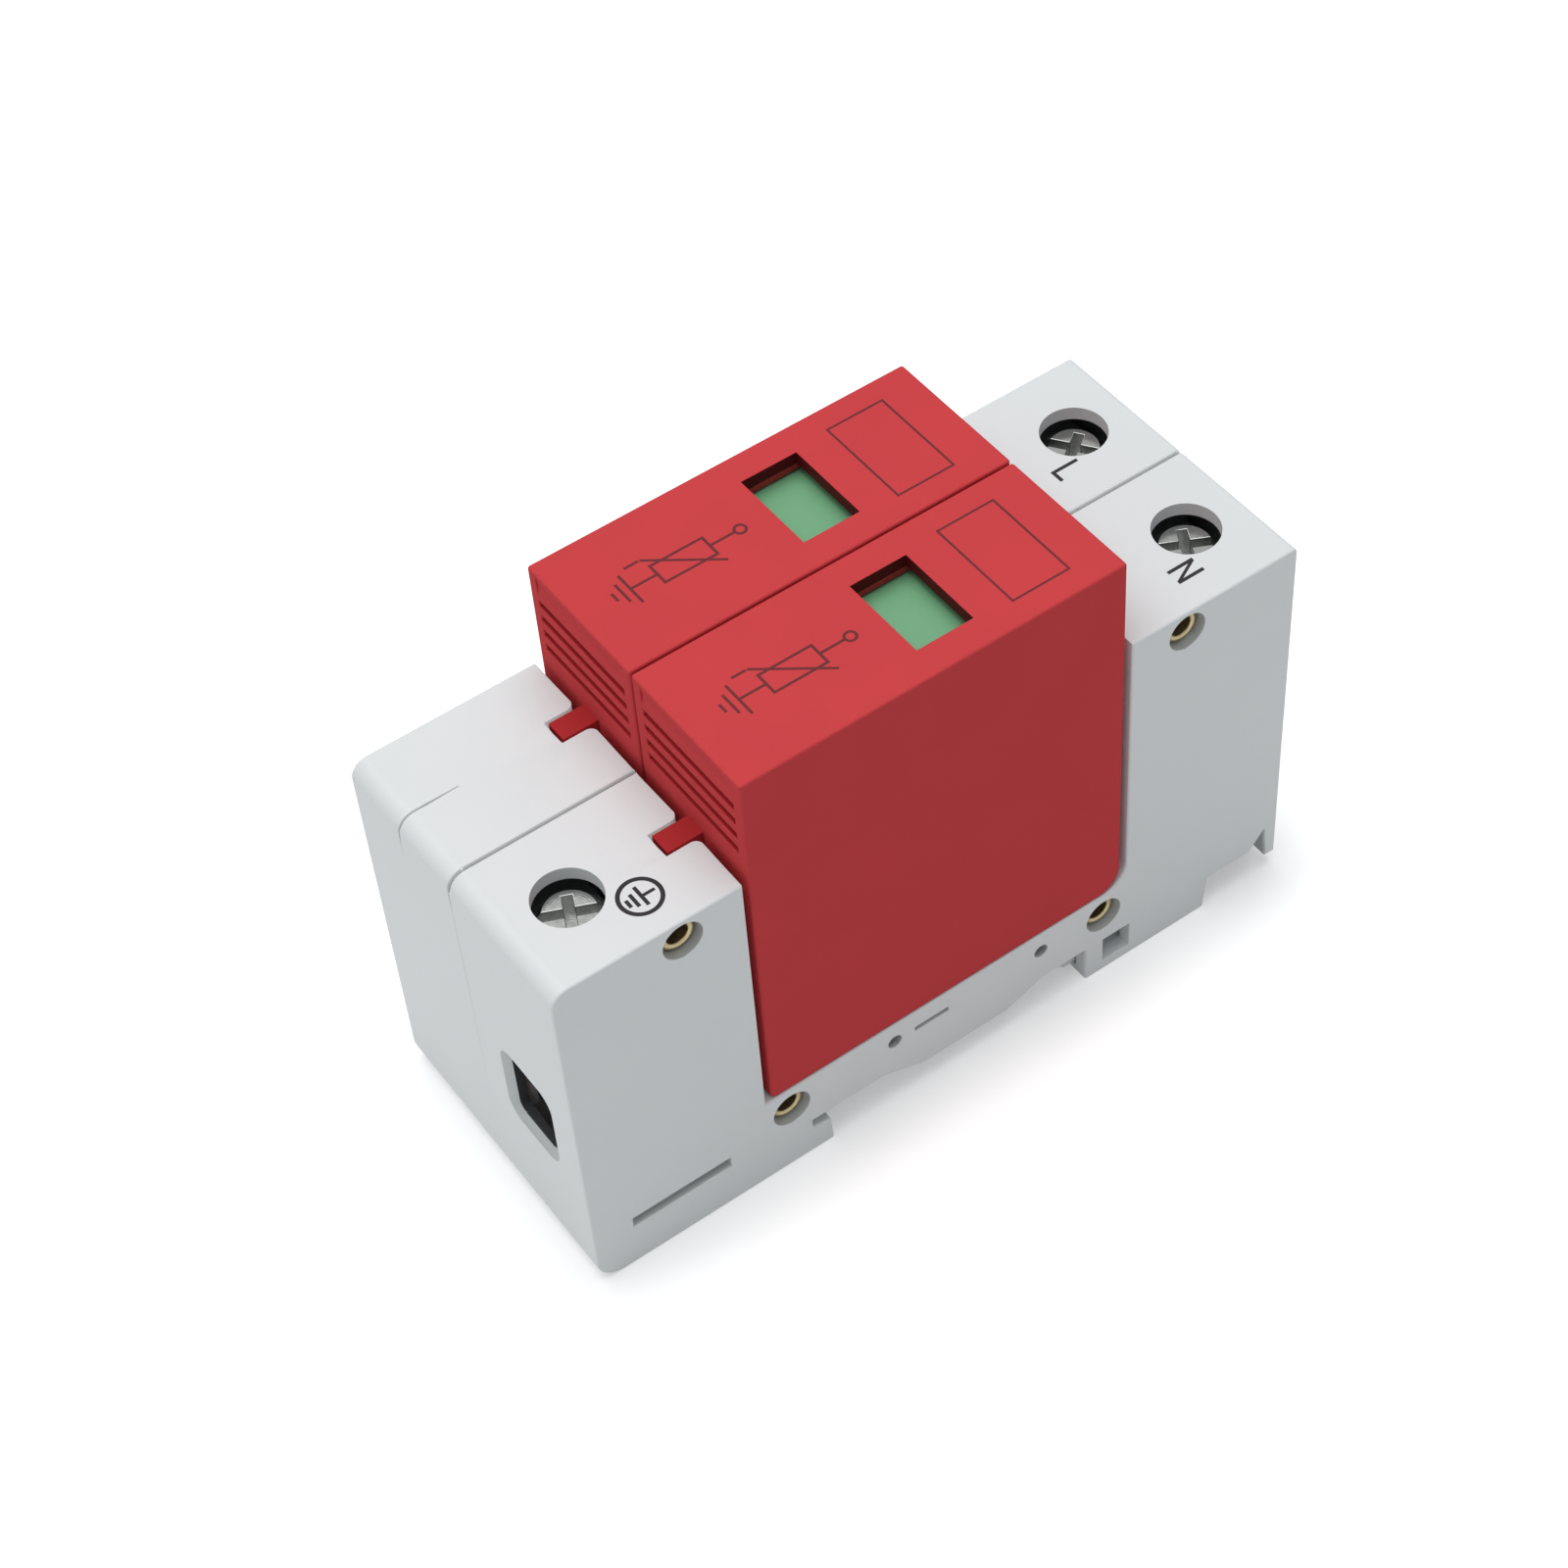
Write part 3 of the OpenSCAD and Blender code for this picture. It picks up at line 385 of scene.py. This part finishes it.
def dress_housing():
    """The four half shells: round outer edges, the seam between the poles and a gape in the L pole."""
    gapes = [(earth_end + 3.5 * MM, WIDE_GAPE), (earth_end + 7 * MM, NARROW_GAPE)]
    shoulder_foot = earth_shoulder - 3.2 * MM
    rivets_end = 36 * MM
    saddle_depth = 5.5 * MM
    end_wall = 1.6 * MM
    wire_height = 21 * MM
    mouth_depth = 0.6 * MM
    entry_reach = (3.6 * MM, 4.5 * MM)
    mouth_reach = (4.6 * MM, 5.6 * MM)
    least_slant = 0.1
    pocket_depth = 1.2 * MM
    widest_facet = 0.8 * MM

    def on_shoulder(edge):
        on_top = any(lies_at(edge, Z, top) for top in (earth_shoulder, line_shoulder))
        on_end_corner = all(v.co.z > shoulder_foot and abs(v.co.y) > rivets_end for v in edge.verts)
        return on_top or on_end_corner

    def about_wire(face, reach, shallow, deep):
        """True if a face lies within reach of a wire's axis and between two depths from the end."""
        centre = face.calc_center_median()
        across, up = abs(abs(centre.x) - pole_mid), abs(centre.z - wire_height)
        at_depth = shallow < half_length - abs(centre.y) < deep
        return at_depth and TOUCH < across < reach[0] and up < reach[1]

    # The walls inside the wire entries take a near-black painted shade
    def in_wire_entry(face):
        return about_wire(face, entry_reach, mouth_depth, end_wall)

    def in_wire_mouth(face):
        slanted = least_slant < abs(face.normal.y) < LOOKS_ALONG
        return slanted and about_wire(face, mouth_reach, TOUCH, mouth_depth)

    def on_end_wall(face):
        depth = half_length - abs(face.calc_center_median().y)
        return looks_along(face, Y) and abs(depth - end_wall) < TOUCH

    def in_side_hole(face):
        depth = half_width - abs(face.calc_center_median().x)
        is_facet = max(span(face, Y), span(face, Z)) < widest_facet
        return is_facet and runs_beside(face, X) and TOUCH < depth < pocket_depth

    # The saddles and end walls of the screw chambers take a dark painted shade
    def in_screw_chamber(face):
        centre = face.calc_center_median()
        saddle = (earth_shoulder if centre.y < 0 else line_shoulder) - saddle_depth
        on_saddle = face.normal.z > LOOKS_ALONG and abs(saddle - centre.z) < TOUCH
        return on_saddle or on_end_wall(face) and any(v.co.z > saddle for v in face.verts)

    def in_seam(face):
        return lies_at(face, X, 0) or lies_at(face, X, -pole_mid)

    def in_shade(face):
        return in_wire_mouth(face) or in_seam(face) or in_side_hole(face) or on_end_wall(face)

    def deep_at(edge, x):
        return lies_at(edge, X, x) and runs_deep(edge) and is_convex(edge)

    # Painted shade: darker greys on seams, wire mouths, side holes, end walls, wire entries and screw
    # chambers
    shades = [(in_shade, painted_shade_grey), (in_wire_entry, painted_recess_shade), (in_screw_chamber, painted_chamber_shade)]
    for pole, side in POLES.items():
        def outside(edge, x=side * half_width):
            return lies_at(edge, X, x) and is_convex(edge)

        rules = [
            (lambda e: outside(e) and runs_deep(e), HOUSING_EDGE),
            (outside, RIM_EDGE),
            (lambda e: deep_at(e, 0) and on_shoulder(e), SEAM_EDGE),
            (lambda e: deep_at(e, 0), NARROW_SEAM_EDGE),
        ]
        cuts = []
        if pole == "l":
            for end, radius in gapes:
                def gaping(edge, end=end):
                    return (deep_at(edge, -pole_mid) and on_shoulder(edge)
                            and all(v.co.y < end + TOUCH for v in edge.verts))

                rules.append((gaping, radius))
                cuts.append(end)
        rules.append((lambda e: runs_across(e) and is_convex(e), RIM_EDGE))
        for half in ("outer", "inner"):
            dress(f"shell_{pole}_{half}", grey_plastic, rules, cuts, shades)


def dress_caps():
    """The red caps: soft outer edges, crisper grooves and windows, and a plain inside."""
    near_end = 20 * MM
    inner_end = 21.55 * MM
    wall = 1 * MM
    window_reach = (6 * MM, 12 * MM)
    window_depth = 1.6 * MM
    groove_floor, grip_face = 21.7 * MM, 22.25 * MM
    grip_top = 3.5 * MM
    shortest_groove = 10 * MM
    for pole in POLES:
        low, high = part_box(f"cap_{pole}")

        def inside(edge):
            return all(low.x + wall < v.co.x < high.x - wall and abs(v.co.y) < inner_end
                       and v.co.z < high.z - wall for v in edge.verts)

        def outer(edge):
            on_top = all(v.co.z > high.z - TOUCH for v in edge.verts)
            at_end = all(abs(v.co.y) > near_end for v in edge.verts)
            on_side = lies_at(edge, X, low.x) or lies_at(edge, X, high.x)
            return is_convex(edge) and (on_side or on_top and at_end)

        # The window walls take a near-black painted shade
        def in_window(face):
            centre = face.calc_center_median()
            across = abs(centre.x - (low.x + high.x) / 2)
            in_reach = across < window_reach[0] and abs(centre.y) < window_reach[1]
            return runs_beside(face, Z) and in_reach and centre.z > high.z - window_depth

        def in_groove(face):
            centre = face.calc_center_median()
            in_grip = groove_floor < abs(centre.y) < grip_face and centre.z < high.z - grip_top
            return in_grip and runs_beside(face, X) and span(face, X) > shortest_groove

        def on_rib(face):
            return face.calc_center_median().y < -high.y - TOUCH

        rules = [(inside, 0), (outer, CAP_EDGE), (is_convex, CAP_DETAIL_EDGE)]
        # Painted shade: near-black red on the window walls, darker red on the grip grooves and guide ribs
        shades = [(in_window, painted_window_shade), (lambda f: in_groove(f) or on_rib(f), shaded_red)]
        dress(f"cap_{pole}", red_plastic, rules, shades=shades)


def dress_metal():
    """Rivets, screws, cages and the copper parts."""
    dress("rivets", brass, [(is_convex, METAL_EDGE)])
    for terminal in ("l", "n", "pe"):
        low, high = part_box(f"screw_{terminal}")
        zinc = turned_metal(f"zinc_{terminal}", ZINC, roughness=0.16, axis_place=(low + high) / 2)
        dress(f"screw_{terminal}", zinc, [(is_convex, METAL_EDGE)])
        dress(f"cage_{terminal}", cage_steel, [(is_convex, CAGE_EDGE)])
    dress("earth_bar", copper, [(is_convex, METAL_EDGE)])
    for pole in POLES:
        for part in ("contact", "solder_tab", "earth_blade", "line_blade", "trip_arm"):
            dress(f"{part}_{pole}", copper, [(is_convex, METAL_EDGE)])


def dress_inner_plastic():
    """Rail clips, plug bases, varistors and flags."""
    for pole in POLES:
        dress(f"rail_clip_{pole}", grey_plastic, [(is_convex, CLIP_EDGE)])
        dress(f"plug_base_{pole}", red_plastic, [(is_convex, CAP_DETAIL_EDGE)])
        dress(f"varistor_{pole}", epoxy, [(any_edge, VARISTOR_EDGE)])
        dress(f"flag_{pole}", green_plastic, [(is_convex, CAP_DETAIL_EDGE)])


dress_housing()
dress_caps()
dress_metal()
dress_inner_plastic()


# Print, drawn flat in mm and then laid on the plastic

def print_bar(bm, start, end, width):
    """A straight printed line from start to end."""
    start, end = Vector((*start, 0)) * MM, Vector((*end, 0)) * MM
    run = end - start
    place = Matrix.Translation((start + end) / 2) @ Matrix.Rotation(math.atan2(run.y, run.x), 4, "Z")
    bmesh.ops.create_grid(bm, x_segments=1, y_segments=1, size=0.5,
                          matrix=place @ Matrix.Diagonal((run.length, width * MM, 1, 1)))


def print_outline(bm, corners):
    """A printed letter, given by its corners."""
    bm.faces.new([bm.verts.new(Vector((*corner, 0)) * MM) for corner in corners])


def print_ring(bm, centre, radius, width):
    """A printed circle."""
    place = Matrix.Translation(Vector((*centre, 0)) * MM)
    loops = []
    for r in (radius, radius - width):
        made = bmesh.ops.create_circle(bm, segments=RING_SEGMENTS, radius=r * MM, matrix=place)
        loops += {edge for vert in made["verts"] for edge in vert.link_edges}
    bmesh.ops.bridge_loops(bm, edges=loops)


def print_frame(bm, centre, size, width):
    """A printed rectangle, ruled as an open frame."""
    place = Matrix.Translation(Vector((*centre, 0)) * MM)
    made = bmesh.ops.create_grid(bm, x_segments=1, y_segments=1, size=0.5,
                                 matrix=place @ Matrix.Diagonal((size[0] * MM, size[1] * MM, 1, 1)))
    field = list({face for vert in made["verts"] for face in vert.link_faces})
    bmesh.ops.inset_region(bm, faces=field, thickness=width * MM, use_boundary=True, use_even_offset=True)
    bmesh.ops.delete(bm, geom=field, context="FACES")


def add_print(name, bm, finish, body, height):
    """Gives flat print its thickness and lays it on a face at this height."""
    top = bmesh.ops.extrude_face_region(bm, geom=bm.faces[:])["geom"]
    raised = [item for item in top if isinstance(item, bmesh.types.BMVert)]
    bmesh.ops.translate(bm, verts=raised, vec=(0, 0, PRINT_T))
    bmesh.ops.translate(bm, verts=bm.verts, vec=(0, 0, height - PRINT_SINK))
    bmesh.ops.recalc_face_normals(bm, faces=bm.faces)
    add_piece(name, bm, finish, body)


def letter_l(left, foot, width, height):
    """The corners of a plain letter L."""
    right, top = left + width, foot + height
    stem, bar = left + LETTER_STROKE, foot + LETTER_STROKE
    return [(left, top), (left, foot), (right, foot), (right, bar), (stem, bar), (stem, top)]


def letter_n(left, foot, width, height, slant):
    """The corners of a plain letter N, whose slanted stroke is this high where it meets a stem."""
    right, top = left + width, foot + height
    left_stem, right_stem = left + LETTER_STROKE, right - LETTER_STROKE
    return [
        (left, foot), (left_stem, foot), (left_stem, top - slant), (right_stem, foot), (right, foot),
        (right, top), (right_stem, top), (right_stem, foot + slant), (left_stem, top), (left, top),
    ]


def print_terminal_marks():
    """L, N and the earth sign beside the terminals."""
    letters = bmesh.new()
    print_outline(letters, letter_l(left=-5.8, foot=32.1, width=1.7, height=3.3))
    print_outline(letters, letter_n(left=12.4, foot=32.3, width=2.1, height=3.2, slant=0.75))
    add_print("line_letters", letters, ink, "base", line_shoulder)
    sign = bmesh.new()
    print_ring(sign, centre=(13.1, -31.35), radius=2.36, width=0.46)
    print_bar(sign, start=(13.15, -29.75), end=(13.15, -31.03), width=0.36)
    for y, left, right in ((-31.23, 11.8, 14.4), (-32.04, 12.3, 14.05), (-32.72, 12.7, 13.7)):
        print_bar(sign, start=(left, y), end=(right, y), width=0.4)
    add_print("earth_sign", sign, ink, "base", earth_shoulder)


def print_caps():
    """A plain varistor circuit sign and an empty marking field on each cap."""
    ring_y, ring_r = -3.4, 0.75
    body_y, body_size = -10, (3, 6.4)
    bars_y, bar_step, bar_halves = -16.15, 0.9, (2.2, 1.4, 0.6)
    slash_half, slash_rise, slash_foot = 2.6, 3.4, -15.2
    field_y, field_size = 14.6, (12, 7)
    body_top, body_foot = body_y + body_size[1] / 2, body_y - body_size[1] / 2
    for pole, side in POLES.items():
        x = side * pole_mid / MM
        sign = bmesh.new()
        print_ring(sign, (x, ring_y), ring_r, SIGN_LINE)
        print_bar(sign, (x, ring_y - ring_r), (x, body_top), SIGN_LINE)
        print_frame(sign, (x, body_y), body_size, SIGN_LINE)
        print_bar(sign, (x, body_foot), (x, bars_y + SIGN_LINE / 2), SIGN_LINE)
        for i, half in enumerate(bar_halves):
            y = bars_y - bar_step * i
            print_bar(sign, (x - half, y), (x + half, y), SIGN_LINE)
        print_frame(sign, (x, field_y), field_size, FIELD_LINE)
        add_print(f"cap_print_{pole}", sign, red_ink, f"module_{pole}", cap_top)
        slash = bmesh.new()
        left, low_end = x - slash_half, body_y - slash_rise
        print_bar(slash, (left, low_end), (x + slash_half, body_y + slash_rise), SIGN_LINE)
        print_bar(slash, (left, low_end - SIGN_LINE / 2), (left, slash_foot), SIGN_LINE)
        add_print(f"cap_slash_{pole}", slash, red_ink, f"module_{pole}", cap_top + CROSSING_LIFT)


print_terminal_marks()
print_caps()


# Studio

FLOOR_HALF = 3
PAPER = (0.85, 0.85, 0.85, 1)
NEAR_GLOW, FAR_GLOW = 0.3, 0.5
GLOW_RISE = 10 * MM
SURROUND_LIGHT = (0.95, 1, 1.03, 1)
SURROUND_STRENGTH = 0.35
SEEN_SURROUND = (0.8, 0.8, 0.8, 1)
LAMP_AIM = Vector((0, 0, 0.03))
SENSOR_WIDTH = 36
FOCAL_LENGTH = 78.36


def light_path_share(owner):
    """A factor that is 1 for camera, glossy and transmission rays."""
    rays = add_node(owner, "ShaderNodeLightPath").outputs
    share = rays["Is Camera Ray"]
    for ray in ("Is Glossy Ray", "Is Transmission Ray"):
        either = add_node(owner, "ShaderNodeMath")
        either.operation = "MAXIMUM"
        join(owner, share, either.inputs[0])
        join(owner, rays[ray], either.inputs[1])
        share = either.outputs["Value"]
    return share


def choose_by_ray(owner, lighting, seen, output):
    """Uses one shader for the rays that carry light and another for those that show the surface."""
    choose = add_node(owner, "ShaderNodeMixShader")
    join(owner, light_path_share(owner), choose.inputs["Fac"])
    join(owner, lighting, choose.inputs[1])
    join(owner, seen, choose.inputs[2])
    join(owner, choose.outputs["Shader"], owner.node_tree.nodes[output].inputs["Surface"])


def glow_away_from_part(paper):
    """A strength that rises with the distance from the part's footprint, so the shadow stays close to it."""
    place = add_node(paper, "ShaderNodeTexCoord").outputs["Object"]
    footprint = (cad_box[1].x, cad_box[1].y, 1)
    steps = (("ABSOLUTE", None), ("SUBTRACT", footprint), ("MAXIMUM", (0, 0, 0)), ("LENGTH", None))
    for operation, value in steps:
        step = add_node(paper, "ShaderNodeVectorMath")
        step.operation = operation
        join(paper, place, step.inputs[0])
        if value:
            step.inputs[1].default_value = value
        place = step.outputs["Value" if operation == "LENGTH" else "Vector"]
    rise = add_node(paper, "ShaderNodeMapRange", From_Max=GLOW_RISE, To_Min=NEAR_GLOW, To_Max=FAR_GLOW)
    rise.interpolation_type = "SMOOTHSTEP"
    join(paper, place, rise.inputs["Value"])
    return rise.outputs["Result"]


def make_floor():
    """A wide pale floor that shows as white and keeps the part's shadow."""
    bm = bmesh.new()
    bmesh.ops.create_grid(bm, x_segments=1, y_segments=1, size=FLOOR_HALF)
    mesh = bpy.data.meshes.new("floor")
    bm.to_mesh(mesh)
    bm.free()
    floor = bpy.data.objects.new("floor", mesh)
    bpy.context.scene.collection.objects.link(floor)
    paper = bpy.data.materials.new("floor_paper")
    paper.use_nodes = True
    matt = add_node(paper, "ShaderNodeBsdfDiffuse", Color=PAPER).outputs["BSDF"]
    glow = add_node(paper, "ShaderNodeEmission")
    join(paper, glow_away_from_part(paper), glow.inputs["Strength"])
    lifted = add_node(paper, "ShaderNodeAddShader")
    join(paper, matt, lifted.inputs[0])
    join(paper, glow.outputs["Emission"], lifted.inputs[1])
    choose_by_ray(paper, matt, lifted.outputs["Shader"], "Material Output")
    mesh.materials.append(paper)


def make_world():
    """An even white surround, and where it is seen as pale as the far floor, so that no horizon shows."""
    world = bpy.data.worlds.new("surround")
    world.use_nodes = True
    bpy.context.scene.world = world
    dim = world.node_tree.nodes["Background"]
    dim.inputs["Color"].default_value = SURROUND_LIGHT
    dim.inputs["Strength"].default_value = SURROUND_STRENGTH
    seen = add_node(world, "ShaderNodeBackground", Color=SEEN_SURROUND, Strength=1.0)
    choose_by_ray(world, dim.outputs["Background"], seen.outputs["Background"], "World Output")


def add_softbox(name, place, size, power):
    """A square lamp that faces the middle of the part."""
    lamp = bpy.data.lights.new(name, "AREA")
    lamp.size = size
    lamp.energy = power
    holder = bpy.data.objects.new(name, lamp)
    holder.location = Vector(place)
    holder.rotation_mode = "QUATERNION"
    holder.rotation_quaternion = (LAMP_AIM - holder.location).to_track_quat("-Z", "Y")
    bpy.context.scene.collection.objects.link(holder)


def make_camera():
    """The photograph's viewpoint, found by fitting the part's edges."""
    eye = Vector((190.5, -123.7, 294.6)) * MM
    azimuth, elevation, roll = (math.radians(a) for a in (58.414, 49.387, -5.125))
    back = Vector((
        math.sin(azimuth) * math.cos(elevation),
        -math.cos(azimuth) * math.cos(elevation),
        math.sin(elevation),
    ))
    lens = bpy.data.cameras.new("camera")
    lens.sensor_width = SENSOR_WIDTH
    lens.lens = FOCAL_LENGTH
    lens.clip_start = 0.01
    camera = bpy.data.objects.new("camera", lens)
    camera.location = eye
    camera.rotation_mode = "QUATERNION"
    camera.rotation_quaternion = (-back).to_track_quat("-Z", "Y") @ Quaternion((0, 0, 1), roll)
    bpy.context.scene.collection.objects.link(camera)
    bpy.context.scene.camera = camera


make_floor()
make_world()
add_softbox("top_softbox", place=(-0.1, -0.07, 0.85), size=0.8, power=5.6)
add_softbox("earth_end_softbox", place=(-0.15, -0.9, 0.4), size=0.6, power=0.4)
make_camera()
bpy.context.scene.view_settings.view_transform = "Standard"
